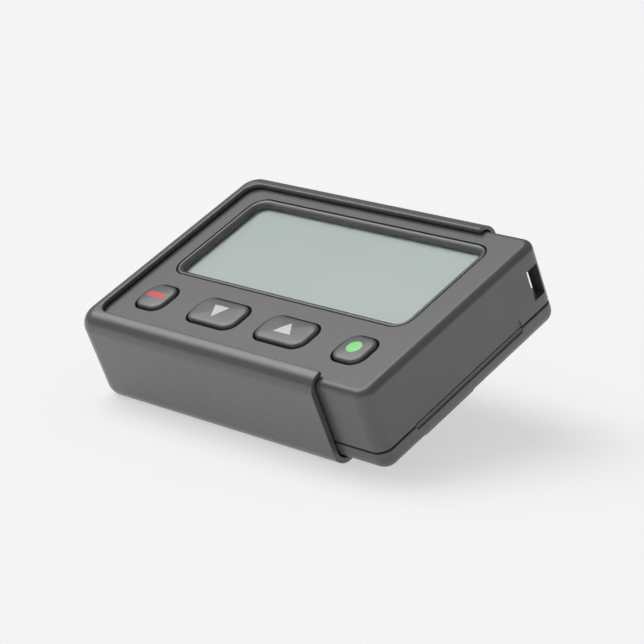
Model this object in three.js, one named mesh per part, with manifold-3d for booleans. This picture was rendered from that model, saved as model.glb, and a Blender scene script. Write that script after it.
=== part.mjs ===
// Alphanumeric pager resting in its belt holster, in millimetres, +Z up.
// Every piece is built in the pager's own flat frame: X along its length, Y from
// the buttons to the display's far edge, Z out of the display face, with the face
// at Z = 0. The whole object is then tilted about X, because it lies on the front
// edge of its holster and on the crown of its belt clip.
import * as THREE from "three";
import { mergeVertices } from "three/addons/utils/BufferGeometryUtils.js";
import Module from "manifold-3d";

const wasm = await Module();
wasm.setup();

// Pager body
const BODY_HALF_X = 39.0;
const BODY_HALF_Y = 25.9;
const BODY_DEPTH = 18.05;
const BODY_CORNER = 2.9;
const FACE_BEVEL = 1.6;
const BACK_BEVEL = 2.4;
const SEAM_Z = -13.8;
const SEAM_HALF_GAP = 0.12;
const WALL = 1.5;
const FLOOR_TOP_Z = -16.05;

// Display window
const WINDOW_HALF_X = 30.85;
const WINDOW_Y0 = -5.4;
const WINDOW_Y1 = 19.45;
const RIM_WIDTH = 1.3;
const RIM_GAP = 0.2;
const LENS_TOP_Z = -1.6;
const LENS_THICKNESS = 0.5;

// Buttons
const BUTTON_X = [-27.5, -9.5, 9.5, 27.5];
const BUTTON_WIDTH = [7.8, 13.5, 13.5, 7.8];
const BUTTON_Y = -15.1;
const BUTTON_HEIGHT = 7.8;
const BUTTON_RADIUS = 2.7;
const BUTTON_PROUD = 0.75;
const BUTTON_GAP = 0.28;
const STEM_BOTTOM_Z = -2.75;

// Boards
const KEYPAD_BOARD_TOP_Z = -5.0;
const MAIN_BOARD_TOP_Z = -7.3;

// Battery bay and door
const BATTERY_Y = -8.4;
const BATTERY_Z = -11.5;
const BATTERY_RADIUS = 5.25;
const BATTERY_X0 = -12.6;
const BATTERY_X1 = 31.9;
const BAY_X0 = -17.0;
const BAY_X1 = 33.2;
const DOOR_X0 = -19.0;
const DOOR_Y0 = -16.2;
const DOOR_Y1 = 2.2;
const DOOR_TOP_Z = -17.1;

// Screws, and where their bosses stand
const BOSSES = [
  [-34.8, -21.9],
  [34.8, -21.9],
  [-34.8, 21.9],
  [27.5, 22.3],
];
const BOSS_RADIUS = 2.2;

// Holster
const HOLSTER_X0 = -40.6;
const HOLSTER_X1 = 26.8;
const HOLSTER_HALF_Y = 27.45;
const HOLSTER_TOP_Z = 1.15;
const HOLSTER_BACK_Z = -19.35;
const HOLSTER_CORNER = 4.7;
const HOLSTER_ROUNDING = 3.4;
const LIP_HALF_Y = 23.6;
const LIP_X0 = -36.65;
const SLIDE_CLEARANCE = 0.3;

// Belt clip
const CLIP_X0 = -19.0;
const CLIP_X1 = 5.0;
const PIN_Y = -7.5;
const PIN_Z = -24.4;
const PIN_RADIUS = 0.8;
const EAR_WIDTH = 2.0;
const RIVET_Y = -7.2;
const RIVET_INSET = 5.0;

// Resting pose: turn about X that sets the holster's edge and the clip on a table
const REST_TILT_DEGREES = 24.3;

const assembly = new THREE.Group();
const flat = new THREE.Group();
assembly.add(flat);

function paint(color, roughness, metalness = 0) {
  return new THREE.MeshStandardMaterial({ color, roughness, metalness });
}

const bodyPlastic = paint(0x56575a, 0.55);
const holsterPlastic = paint(0x4f5250, 0.5);
const rimPlastic = paint(0x66686a, 0.4);
const lensPlastic = new THREE.MeshStandardMaterial({
  color: 0xbcc6c2,
  roughness: 0.1,
  transparent: true,
  opacity: 0.4,
});
const lcdGlass = paint(0xaebbb4, 0.25);
const whitePlastic = paint(0xe2e4e0, 0.5);
const blackPlastic = paint(0x242426, 0.55);
const rubberBlack = paint(0x1d1d1f, 0.85);
const boardGreen = paint(0x1f5a3a, 0.5);
const chipBlack = paint(0x18181a, 0.5);
const steel = paint(0xb4b6b8, 0.3, 1);
const tungsten = paint(0x75757a, 0.4, 1);
const copper = paint(0xb8743f, 0.35, 1);
const flexAmber = paint(0xb07a30, 0.45);
const cellSleeve = paint(0x2b4f8a, 0.4);
const legendRed = paint(0xe24a55, 0.45);
const legendWhite = paint(0xe6e6e6, 0.45);
const legendGreen = paint(0x7fe08a, 0.45);

// ---- solids and cutting ----

function toSolid(geometry) {
  const bare = geometry.clone();
  bare.deleteAttribute("normal");
  bare.deleteAttribute("uv");
  const merged = mergeVertices(bare, 1e-4);
  return new wasm.Manifold(
    new wasm.Mesh({
      numProp: 3,
      vertProperties: new Float32Array(merged.attributes.position.array),
      triVerts: new Uint32Array(merged.index.array),
    }),
  );
}

function toGeometry(solid) {
  const mesh = solid.getMesh();
  const geometry = new THREE.BufferGeometry();
  geometry.setAttribute("position", new THREE.BufferAttribute(mesh.vertProperties, 3));
  geometry.setIndex(new THREE.BufferAttribute(mesh.triVerts, 1));
  const faceted = geometry.toNonIndexed();
  faceted.computeVertexNormals();
  return faceted;
}

function addPart(name, shape, material) {
  const geometry = shape.isBufferGeometry ? shape : toGeometry(shape);
  const mesh = new THREE.Mesh(geometry, material);
  mesh.name = name;
  flat.add(mesh);
  return mesh;
}

function cut(base, cutters) {
  let result = base;
  for (const cutter of cutters) {
    result = result.subtract(cutter);
  }
  return result;
}

function join(pieces) {
  let result = pieces[0];
  for (const piece of pieces.slice(1)) {
    result = result.add(piece);
  }
  return result;
}

// ---- shapes ----

function boxGeometry(x0, x1, y0, y1, z0, z1) {
  const box = new THREE.BoxGeometry(x1 - x0, y1 - y0, z1 - z0);
  box.translate((x0 + x1) / 2, (y0 + y1) / 2, (z0 + z1) / 2);
  return box;
}

function block(x0, x1, y0, y1, z0, z1) {
  return toSolid(boxGeometry(x0, x1, y0, y1, z0, z1));
}

function rodGeometry(axis, radius, start, end, a, b, segments = 20) {
  const rod = new THREE.CylinderGeometry(radius, radius, end - start, segments);
  const middle = (start + end) / 2;
  if (axis === "x") {
    rod.rotateZ(-Math.PI / 2);
    rod.translate(middle, a, b);
  } else if (axis === "z") {
    rod.rotateX(Math.PI / 2);
    rod.translate(a, b, middle);
  } else {
    rod.translate(a, middle, b);
  }
  return rod;
}

function rod(axis, radius, start, end, a, b, segments = 20) {
  return toSolid(rodGeometry(axis, radius, start, end, a, b, segments));
}

function roundedOutline(x0, x1, y0, y1, radius, z, steps = 5) {
  const corners = [
    [x1 - radius, y1 - radius, 0],
    [x0 + radius, y1 - radius, 90],
    [x0 + radius, y0 + radius, 180],
    [x1 - radius, y0 + radius, 270],
  ];
  const points = [];
  for (const [cx, cy, startAngle] of corners) {
    for (let i = 0; i <= steps; i += 1) {
      const angle = THREE.MathUtils.degToRad(startAngle + (90 * i) / steps);
      points.push([cx + radius * Math.cos(angle), cy + radius * Math.sin(angle), z]);
    }
  }
  return points;
}

// Closed skin through outlines listed from the lowest to the highest.
function loft(outlines) {
  const count = outlines[0].length;
  const positions = outlines.flat(2);
  const index = [];
  for (let level = 0; level < outlines.length - 1; level += 1) {
    for (let i = 0; i < count; i += 1) {
      const a = level * count + i;
      const b = level * count + ((i + 1) % count);
      index.push(a, b, b + count, a, b + count, a + count);
    }
  }
  const top = (outlines.length - 1) * count;
  for (let i = 1; i < count - 1; i += 1) {
    index.push(0, i + 1, i);
    index.push(top, top + i, top + i + 1);
  }
  const geometry = new THREE.BufferGeometry();
  geometry.setAttribute("position", new THREE.Float32BufferAttribute(positions, 3));
  geometry.setIndex(index);
  return geometry;
}

// Block with round vertical corners and rounded lower and upper edges.
function pillow({ x0, x1, y0, y1, z0, z1, corner, low = 0, high = 0, steps = 5, arcs = 4 }) {
  const outlines = [];
  const levels = [];
  if (low > 0) {
    for (let i = 0; i <= arcs; i += 1) {
      const angle = (Math.PI / 2) * (i / arcs);
      levels.push([low * (1 - Math.sin(angle)), z0 + low * (1 - Math.cos(angle))]);
    }
  } else {
    levels.push([0, z0]);
  }
  if (high > 0) {
    for (let i = 0; i <= arcs; i += 1) {
      const angle = (Math.PI / 2) * (i / arcs);
      levels.push([high * (1 - Math.cos(angle)), z1 - high * (1 - Math.sin(angle))]);
    }
  } else {
    levels.push([0, z1]);
  }
  for (const [inset, z] of levels) {
    const radius = Math.max(corner - inset, 0.25);
    outlines.push(
      roundedOutline(x0 + inset, x1 - inset, y0 + inset, y1 - inset, radius, z, steps),
    );
  }
  return toSolid(loft(outlines));
}

function plate(x0, x1, y0, y1, z0, z1, corner, steps = 4) {
  return pillow({ x0, x1, y0, y1, z0, z1, corner, steps });
}

// Profile in Y and Z, drawn along X.
function profileAlongX(points, x0, x1) {
  const shape = new THREE.Shape(points.map(([y, z]) => new THREE.Vector2(y, z)));
  const geometry = new THREE.ExtrudeGeometry(shape, { depth: x1 - x0, bevelEnabled: false });
  const turn = new THREE.Matrix4().makeBasis(
    new THREE.Vector3(0, 1, 0),
    new THREE.Vector3(0, 0, 1),
    new THREE.Vector3(1, 0, 0),
  );
  geometry.applyMatrix4(turn);
  geometry.translate(x0, 0, 0);
  return toSolid(geometry);
}

// Profile in X and Y, raised along Z.
function profileAlongZ(shape, z0, z1, curveSegments = 8) {
  const geometry = new THREE.ExtrudeGeometry(shape, {
    depth: z1 - z0,
    bevelEnabled: false,
    curveSegments,
  });
  geometry.translate(0, 0, z0);
  return toSolid(geometry);
}

// Round bar bent along a list of points.
function wire(points, radius, pathSteps, sides) {
  const path = new THREE.CatmullRomCurve3(points);
  const section = new THREE.Shape();
  for (let i = 0; i < sides; i += 1) {
    const angle = (2 * Math.PI * i) / sides;
    const x = radius * Math.cos(angle);
    const y = radius * Math.sin(angle);
    if (i === 0) {
      section.moveTo(x, y);
    } else {
      section.lineTo(x, y);
    }
  }
  section.closePath();
  const geometry = new THREE.ExtrudeGeometry(section, {
    steps: pathSteps,
    extrudePath: path,
    bevelEnabled: false,
  });
  return toSolid(geometry);
}

function turned(profile, segments = 20) {
  const points = profile.map(([radius, height]) => new THREE.Vector2(radius, height));
  const geometry = new THREE.LatheGeometry(points, segments);
  geometry.rotateX(Math.PI / 2);
  return geometry;
}

// ---- pager housing ----

function bodyEnvelope(grow = 0) {
  return pillow({
    x0: -BODY_HALF_X - grow,
    x1: BODY_HALF_X + grow,
    y0: -BODY_HALF_Y - grow,
    y1: BODY_HALF_Y + grow,
    z0: -BODY_DEPTH - grow,
    z1: grow,
    corner: BODY_CORNER + grow,
    low: BACK_BEVEL,
    high: FACE_BEVEL,
  });
}

function pryRecess() {
  return block(BODY_HALF_X - 0.5, BODY_HALF_X + 1, -16.4, 15.7, -14.8, -11.9);
}

function lanyardTunnel() {
  const inward = block(35.7, BODY_HALF_X + 1, 20.8, 24.1, -11.2, -4.5);
  const across = block(31.7, 35.8, 20.8, BODY_HALF_Y + 1, -12.6, -6.9);
  return inward.add(across);
}

function makeFrontHousing() {
  const shell = bodyEnvelope().intersect(block(-60, 60, -60, 60, SEAM_Z + SEAM_HALF_GAP, 5));
  const cavity = plate(
    -BODY_HALF_X + WALL,
    BODY_HALF_X - WALL,
    -BODY_HALF_Y + WALL,
    BODY_HALF_Y - WALL,
    -30,
    -WALL,
    1.6,
  );
  let housing = shell.subtract(cavity);
  const bosses = BOSSES.map(([x, y], i) => {
    const top = i === 3 ? -6.4 : -WALL + 0.5;
    return rod("z", BOSS_RADIUS, SEAM_Z + SEAM_HALF_GAP, top, x, y, 16);
  });
  const tunnelBlock = block(32.7, 37.8, 19.6, 24.7, SEAM_Z + SEAM_HALF_GAP, -WALL + 0.3);
  const tunnelElbow = block(30.8, 33.0, 19.6, 24.7, SEAM_Z + SEAM_HALF_GAP, -6.3);
  housing = join([housing, ...bosses, tunnelBlock, tunnelElbow]);
  const pilots = BOSSES.map(([x, y]) => rod("z", 0.9, -20, -8.2, x, y, 12));
  const windowHole = plate(
    -WINDOW_HALF_X - RIM_WIDTH - RIM_GAP,
    WINDOW_HALF_X + RIM_WIDTH + RIM_GAP,
    WINDOW_Y0 - RIM_WIDTH - RIM_GAP,
    WINDOW_Y1 + RIM_WIDTH + RIM_GAP,
    -WALL - 0.4,
    3,
    4.6,
    6,
  );
  const buttonHoles = BUTTON_X.map((x, i) => {
    const halfX = BUTTON_WIDTH[i] / 2 + BUTTON_GAP;
    const halfY = BUTTON_HEIGHT / 2 + BUTTON_GAP;
    return plate(
      x - halfX,
      x + halfX,
      BUTTON_Y - halfY,
      BUTTON_Y + halfY,
      -WALL - 0.4,
      3,
      BUTTON_RADIUS + BUTTON_GAP,
      5,
    );
  });
  const cutters = [...pilots, windowHole, ...buttonHoles, pryRecess(), lanyardTunnel()];
  addPart("front_housing", cut(housing, cutters), bodyPlastic);
}

function makeRearHousing() {
  const shell = bodyEnvelope().intersect(block(-60, 60, -60, 60, -30, SEAM_Z - SEAM_HALF_GAP));
  const cavity = plate(
    -BODY_HALF_X + WALL,
    BODY_HALF_X - WALL,
    -BODY_HALF_Y + WALL,
    BODY_HALF_Y - WALL,
    FLOOR_TOP_Z,
    5,
    1.6,
  );
  const bosses = BOSSES.map(([x, y]) => {
    return rod("z", BOSS_RADIUS, FLOOR_TOP_Z - 0.4, SEAM_Z - SEAM_HALF_GAP, x, y, 16);
  });
  const bayOuter = block(
    BAY_X0 - 0.8,
    BAY_X1 + 0.8,
    BATTERY_Y - 6.5,
    BATTERY_Y + 6.5,
    FLOOR_TOP_Z - 0.4,
    -9.2,
  );
  const bayInner = block(BAY_X0, BAY_X1, BATTERY_Y - 5.7, BATTERY_Y + 5.7, -30, 0);
  const doorRecess = block(
    DOOR_X0 - 0.3,
    60,
    DOOR_Y0 - 0.2,
    DOOR_Y1 + 0.2,
    -30,
    DOOR_TOP_Z + 0.15,
  );
  const doorGroove = block(
    DOOR_X0 - 0.3,
    60,
    DOOR_Y0 - 0.8,
    DOOR_Y1 + 0.8,
    DOOR_TOP_Z - 0.5,
    DOOR_TOP_Z + 0.15,
  );
  const screwHoles = BOSSES.map(([x, y]) => rod("z", 1.1, -20, -10, x, y, 12));
  const headPockets = BOSSES.map(([x, y]) => rod("z", 1.9, -20, -16.85, x, y, 16));
  const soundSlots = [6.5, 10, 13.5].map((y) => block(13, 23, y - 0.5, y + 0.5, -20, -14));
  const housing = join([shell.subtract(cavity), ...bosses, bayOuter]);
  addPart(
    "rear_housing",
    cut(housing, [
      bayInner,
      doorRecess,
      doorGroove,
      ...screwHoles,
      ...headPockets,
      ...soundSlots,
      pryRecess(),
    ]),
    bodyPlastic,
  );
}

function makeScrews() {
  const names = ["screw_front_left", "screw_front_right", "screw_far_left", "screw_far_right"];
  BOSSES.forEach(([x, y], i) => {
    const screw = turned(
      [
        [0, -17.85],
        [1.65, -17.85],
        [1.65, -16.95],
        [0.8, -16.95],
        [0.8, -9.4],
        [0.4, -8.8],
        [0, -8.8],
      ],
      14,
    );
    screw.translate(x, y, 0);
    addPart(names[i], toSolid(screw), steel);
  });
}

// ---- display ----

function makeDisplayRim() {
  const outerX = WINDOW_HALF_X + RIM_WIDTH;
  const outerY0 = WINDOW_Y0 - RIM_WIDTH;
  const outerY1 = WINDOW_Y1 + RIM_WIDTH;
  const collar = pillow({
    x0: -outerX,
    x1: outerX,
    y0: outerY0,
    y1: outerY1,
    z0: -2.7,
    z1: 0.02,
    corner: 4.4,
    high: 0.25,
    steps: 6,
    arcs: 2,
  });
  const flange = plate(-33.2, 33.2, outerY0 - 0.75, outerY1 + 0.75, -2.7, -WALL - 0.1, 5.0, 6);
  const opening = plate(-WINDOW_HALF_X, WINDOW_HALF_X, WINDOW_Y0, WINDOW_Y1, -5, 3, 3.2, 6);
  const seat = plate(-31.6, 31.6, WINDOW_Y0 - 0.75, WINDOW_Y1 + 0.75, -5, LENS_TOP_Z + 0.05, 3.9, 6);
  const slope = toSolid(
    loft([
      roundedOutline(
        -WINDOW_HALF_X - 0.05,
        WINDOW_HALF_X + 0.05,
        WINDOW_Y0 - 0.05,
        WINDOW_Y1 + 0.05,
        3.25,
        -0.4,
        6,
      ),
      roundedOutline(
        -WINDOW_HALF_X - 0.9,
        WINDOW_HALF_X + 0.9,
        WINDOW_Y0 - 0.9,
        WINDOW_Y1 + 0.9,
        4.1,
        0.05,
        6,
      ),
    ]),
  );
  addPart("display_rim", cut(collar.add(flange), [opening, seat, slope]), rimPlastic);
}

function makeLens() {
  const lens = plate(
    -31.45,
    31.45,
    WINDOW_Y0 - 0.6,
    WINDOW_Y1 + 0.6,
    LENS_TOP_Z - LENS_THICKNESS,
    LENS_TOP_Z,
    3.7,
    5,
  );
  addPart("display_lens", lens, lensPlastic);
}

function makeDisplayStack() {
  addPart("lcd_panel", plate(-31.0, 31.0, -5.9, 20.0, -4.5, -2.4, 3.6, 5), lcdGlass);
  const frame = cut(plate(-32.3, 32.3, -7.0, 21.2, -5.95, -2.8, 0.9, 2), [
    block(-31.3, 31.3, -6.2, 20.3, -8, 0),
  ]);
  addPart("lcd_frame", frame, blackPlastic);
  addPart("backlight_panel", boxGeometry(-30.8, 30.8, -5.6, 17.6, -5.8, -4.65), whitePlastic);
  addPart("zebra_connector", boxGeometry(-27, 27, 18.3, 19.7, -7.2, -4.6), rubberBlack);
}

// ---- buttons ----

function legendShape(index) {
  const shape = new THREE.Shape();
  const x = BUTTON_X[index];
  if (index === 0) {
    shape.moveTo(x - 2.6, BUTTON_Y - 0.75);
    shape.lineTo(x + 2.6, BUTTON_Y - 0.75);
    shape.lineTo(x + 2.6, BUTTON_Y + 0.85);
    shape.lineTo(x - 2.6, BUTTON_Y + 0.85);
  } else if (index === 1) {
    shape.moveTo(x - 1.95, BUTTON_Y + 1.55);
    shape.lineTo(x, BUTTON_Y - 1.55);
    shape.lineTo(x + 1.95, BUTTON_Y + 1.55);
  } else if (index === 2) {
    shape.moveTo(x - 2.3, BUTTON_Y - 1.25);
    shape.lineTo(x + 2.3, BUTTON_Y - 1.25);
    shape.lineTo(x, BUTTON_Y + 1.9);
  } else {
    shape.absarc(x, BUTTON_Y + 0.1, 1.6, 0, Math.PI * 2, false);
  }
  shape.closePath();
  return shape;
}

function grownLegend(shape, grow) {
  const points = shape.extractPoints(6).shape;
  const middle = new THREE.Vector2();
  for (const point of points) {
    middle.addScaledVector(point, 1 / points.length);
  }
  return new THREE.Shape(
    points.map((point) => {
      const outward = point.clone().sub(middle);
      return point.clone().add(outward.setLength(grow));
    }),
  );
}

function makeButtons() {
  const names = ["power", "down", "up", "select"];
  const legendPaints = [legendRed, legendWhite, legendWhite, legendGreen];
  names.forEach((name, i) => {
    const x = BUTTON_X[i];
    const halfX = BUTTON_WIDTH[i] / 2;
    const halfY = BUTTON_HEIGHT / 2;
    const cap = pillow({
      x0: x - halfX,
      x1: x + halfX,
      y0: BUTTON_Y - halfY,
      y1: BUTTON_Y + halfY,
      z0: -1.9,
      z1: BUTTON_PROUD,
      corner: BUTTON_RADIUS,
      high: 0.7,
      arcs: 3,
    });
    const flange = plate(
      x - halfX - 0.8,
      x + halfX + 0.8,
      BUTTON_Y - halfY - 0.8,
      BUTTON_Y + halfY + 0.8,
      -2.3,
      -WALL - 0.12,
      3.2,
      3,
    );
    const stem = rod("z", 1.6, STEM_BOTTOM_Z, -2.0, x, BUTTON_Y, 14);
    const shape = legendShape(i);
    const body = join([cap, flange, stem]);
    const pocket = profileAlongZ(grownLegend(shape, 0.06), BUTTON_PROUD - 0.36, 3, 6);
    addPart(`button_${name}`, body.subtract(pocket), bodyPlastic);
    const legend = profileAlongZ(shape, BUTTON_PROUD - 0.3, BUTTON_PROUD + 0.02, 6);
    addPart(`legend_${name}`, legend, legendPaints[i]);
    addPart(`switch_${name}`, switchShape(x), steel);
  });
}

function switchShape(x) {
  const base = block(x - 2.6, x + 2.6, BUTTON_Y - 2.6, BUTTON_Y + 2.6, KEYPAD_BOARD_TOP_Z + 0.05, -3.9);
  return base.add(rod("z", 1.2, -4.2, -3.55, x, BUTTON_Y, 12));
}

// ---- electronics ----

function makeBoards() {
  const keypad = boxGeometry(-31.8, 31.8, -22.6, -8.2, KEYPAD_BOARD_TOP_Z - 0.8, KEYPAD_BOARD_TOP_Z);
  addPart("keypad_board", keypad, boardGreen);
  const main = boxGeometry(-31.6, 31.4, -1.3, 19.3, MAIN_BOARD_TOP_Z - 1.0, MAIN_BOARD_TOP_Z);
  addPart("main_board", main, boardGreen);
  const flex = profileAlongX(
    [
      [-12.0, -5.85],
      [-12.0, -6.05],
      [-3.0, -6.05],
      [0.4, -7.05],
      [3.0, -7.05],
      [3.0, -7.25],
      [0.3, -7.25],
      [-3.1, -6.25],
      [-12.2, -6.25],
      [-12.2, -5.85],
    ].reverse(),
    -30.5,
    -22.5,
  );
  addPart("keypad_flex", flex, flexAmber);
}

function makeComponents() {
  addPart("rf_shield", boxGeometry(-28.5, -9.0, 2.2, 17.6, -11.2, -8.35), steel);
  addPart("processor_chip", boxGeometry(-5.5, 5.5, 5.5, 16.5, -9.8, -8.35), chipBlack);
  const crystal = plate(-6.6, 4.2, -0.2, 3.6, -11.6, -8.35, 1.8, 4);
  addPart("crystal_can", crystal, steel);
  const loop = cut(block(-30, 22, 21.6, 22.1, -15.6, -9.4), [
    block(-28.4, 20.4, 21, 23, -14.2, -10.8),
  ]);
  addPart("loop_antenna", loop, copper);
}

function makeSpeaker() {
  const shell = rod("z", 8.0, -15.9, -12.4, 18, 9.8, 28);
  const hole = rod("z", 5.2, -16.2, -15.0, 18, 9.8, 24);
  addPart("alert_speaker", shell.subtract(hole), blackPlastic);
}

function makeVibrator() {
  const y = -19.4;
  const z = -10.9;
  const can = rod("x", 3.0, -9.0, 2.0, y, z, 20).add(rod("x", 1.0, 1.8, 2.6, y, z, 12));
  const bore = rod("x", 0.45, -4.0, 4.0, y, z, 12);
  addPart("motor_can", can.subtract(bore), steel);
  const boot = block(-7.6, 0.6, y - 3.9, y + 3.9, z - 3.9, z + 3.9);
  addPart("motor_boot", boot.subtract(rod("x", 3.08, -9, 3, y, z, 20)), rubberBlack);
  addPart("motor_shaft", rod("x", 0.4, -3.6, 7.4, y, z, 12), steel);
  const half = rod("x", 2.9, 3.4, 7.2, y, z, 24).intersect(
    block(3, 8, y - 4, y + 4, z - 4, z + 0.7),
  );
  const hub = rod("x", 1.2, 3.4, 7.2, y, z, 16);
  const weight = half.add(hub).subtract(rod("x", 0.45, 2, 9, y, z, 12));
  const hanging = toGeometry(weight);
  hanging.translate(0, -y, -z);
  hanging.rotateX(-THREE.MathUtils.degToRad(REST_TILT_DEGREES));
  hanging.translate(0, y, z);
  addPart("eccentric_weight", toSolid(hanging), tungsten);
}

// ---- battery ----

function makeBattery() {
  const cell = turned(
    [
      [0, 0],
      [3.4, 0],
      [5.0, 0.15],
      [5.25, 0.5],
      [5.25, 43.0],
      [4.9, 43.5],
      [1.9, 43.6],
      [1.9, 44.5],
      [0, 44.5],
    ],
    24,
  );
  cell.rotateY(Math.PI / 2);
  cell.translate(BATTERY_X0, BATTERY_Y, BATTERY_Z);
  addPart("battery_cell", toSolid(cell), cellSleeve);
  const positive = block(32.15, 32.5, BATTERY_Y - 3.6, BATTERY_Y + 3.6, -15.6, -7.0);
  const tab = block(32.15, 33.9, BATTERY_Y - 1.2, BATTERY_Y + 1.2, -7.4, -7.0);
  addPart("contact_positive", positive.add(tab), steel);
  const coil = [];
  const turns = 3;
  for (let i = 0; i <= turns * 10; i += 1) {
    const angle = (2 * Math.PI * i) / 10;
    const radius = 3.4 - 1.3 * (i / (turns * 10));
    const along = -16.2 + 3.2 * (i / (turns * 10));
    coil.push(
      new THREE.Vector3(
        along,
        BATTERY_Y + radius * Math.cos(angle),
        BATTERY_Z + radius * Math.sin(angle),
      ),
    );
  }
  const spring = wire(coil, 0.28, 44, 6);
  const negative = block(-16.7, -16.15, BATTERY_Y - 4.2, BATTERY_Y + 4.2, -15.6, -7.0);
  addPart("contact_negative", negative.add(spring), steel);
}

function makeBatteryDoor() {
  const envelope = bodyEnvelope(0);
  const panel = block(
    DOOR_X0,
    60,
    DOOR_Y0,
    DOOR_Y1,
    -30,
    DOOR_TOP_Z,
  );
  const tongues = block(
    DOOR_X0,
    60,
    DOOR_Y0 - 0.6,
    DOOR_Y1 + 0.6,
    DOOR_TOP_Z - 0.38,
    DOOR_TOP_Z,
  );
  const flush = panel.add(tongues).intersect(envelope);
  const grip = pillow({
    x0: 28.2,
    x1: 37.7,
    y0: -14.6,
    y1: 1.4,
    z0: -18.35,
    z1: -17.4,
    corner: 1.2,
    low: 0.5,
    steps: 3,
    arcs: 2,
  });
  const grooves = [30.2, 32.2, 34.2].map((x) => block(x - 0.3, x + 0.3, -12.8, -0.4, -20, -18.0));
  addPart("battery_door", cut(flush.add(grip), grooves), bodyPlastic);
}

// ---- holster ----

function makeHolster() {
  const outer = pillow({
    x0: HOLSTER_X0,
    x1: 60,
    y0: -HOLSTER_HALF_Y,
    y1: HOLSTER_HALF_Y,
    z0: HOLSTER_BACK_Z,
    z1: HOLSTER_TOP_Z,
    corner: HOLSTER_CORNER,
    low: HOLSTER_ROUNDING,
    high: HOLSTER_ROUNDING,
    steps: 6,
    arcs: 5,
  });
  const cavity = pillow({
    x0: -BODY_HALF_X - SLIDE_CLEARANCE,
    x1: 80,
    y0: -BODY_HALF_Y - SLIDE_CLEARANCE,
    y1: BODY_HALF_Y + SLIDE_CLEARANCE,
    z0: -BODY_DEPTH - SLIDE_CLEARANCE,
    z1: 0.25,
    corner: BODY_CORNER + SLIDE_CLEARANCE,
    low: BACK_BEVEL,
    high: FACE_BEVEL,
    steps: 4,
    arcs: 3,
  });
  const mouth = plate(LIP_X0, 80, -LIP_HALF_Y, LIP_HALF_Y, -3, 5, 3.2, 6);
  const openEnd = block(HOLSTER_X1, 90, -60, 60, -60, 60);
  const rivetHoles = [CLIP_X0 + RIVET_INSET, CLIP_X1 - RIVET_INSET].flatMap((x) => [
    rod("z", 1.25, -30, -15, x, RIVET_Y, 14),
    rod("z", 2.2, -18.95, -15, x, RIVET_Y, 16),
  ]);
  addPart("holster_shell", cut(outer, [cavity, mouth, openEnd, ...rivetHoles]), holsterPlastic);
}

// ---- belt clip ----

function makeClipBracket() {
  const base = plate(CLIP_X0, CLIP_X1, -11.4, -3.0, -20.75, HOLSTER_BACK_Z - 0.1, 1.0, 3);
  const earProfile = [
    [-10.6, -20.2],
    [-9.7, -24.4],
    [-9.1, -25.9],
    [-7.5, -26.5],
    [-5.9, -25.9],
    [-5.3, -24.4],
    [-4.4, -20.2],
  ];
  const ears = [
    profileAlongX(earProfile, CLIP_X0, CLIP_X0 + EAR_WIDTH),
    profileAlongX(earProfile, CLIP_X1 - EAR_WIDTH, CLIP_X1),
  ];
  const pinHole = rod("x", PIN_RADIUS + 0.05, CLIP_X0 - 2, CLIP_X1 + 2, PIN_Y, PIN_Z, 18);
  const rivetHoles = [CLIP_X0 + RIVET_INSET, CLIP_X1 - RIVET_INSET].map((x) => {
    return rod("z", 1.25, -30, -15, x, RIVET_Y, 14);
  });
  addPart("clip_bracket", cut(join([base, ...ears]), [pinHole, ...rivetHoles]), blackPlastic);
}

function makeRivets() {
  const names = ["rivet_left", "rivet_right"];
  [CLIP_X0 + RIVET_INSET, CLIP_X1 - RIVET_INSET].forEach((x, i) => {
    const rivet = turned(
      [
        [0, -21.45],
        [1.7, -21.3],
        [2.0, -20.85],
        [1.15, -20.85],
        [1.15, -18.85],
        [1.9, -18.85],
        [1.9, -18.45],
        [0, -18.45],
      ],
      14,
    );
    rivet.translate(x, RIVET_Y, 0);
    addPart(names[i], toSolid(rivet), steel);
  });
}

function makeClipPin() {
  const pin = rod("x", PIN_RADIUS, CLIP_X0 - 0.2, CLIP_X1 + 0.2, PIN_Y, PIN_Z, 18);
  addPart("clip_pin", pin, steel);
}

function makeClipSpring() {
  const points = [];
  const middle = (CLIP_X0 + CLIP_X1) / 2;
  points.push(new THREE.Vector3(middle - 2.6, PIN_Y - 3.7, -21.2));
  points.push(new THREE.Vector3(middle - 2.6, PIN_Y - 2.0, -21.75));
  const turns = 4;
  for (let i = 0; i <= turns * 8; i += 1) {
    const angle = Math.PI * 0.62 + (2 * Math.PI * i) / 8;
    points.push(
      new THREE.Vector3(
        middle - 2.4 + 4.8 * (i / (turns * 8)),
        PIN_Y + 1.75 * Math.cos(angle),
        PIN_Z + 1.75 * Math.sin(angle),
      ),
    );
  }
  points.push(new THREE.Vector3(middle + 2.6, PIN_Y - 2.4, PIN_Z + 1.9));
  points.push(new THREE.Vector3(middle + 2.6, PIN_Y - 4.6, PIN_Z + 2.05));
  addPart("clip_spring", wire(points, 0.3, 80, 6), steel);
}

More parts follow.
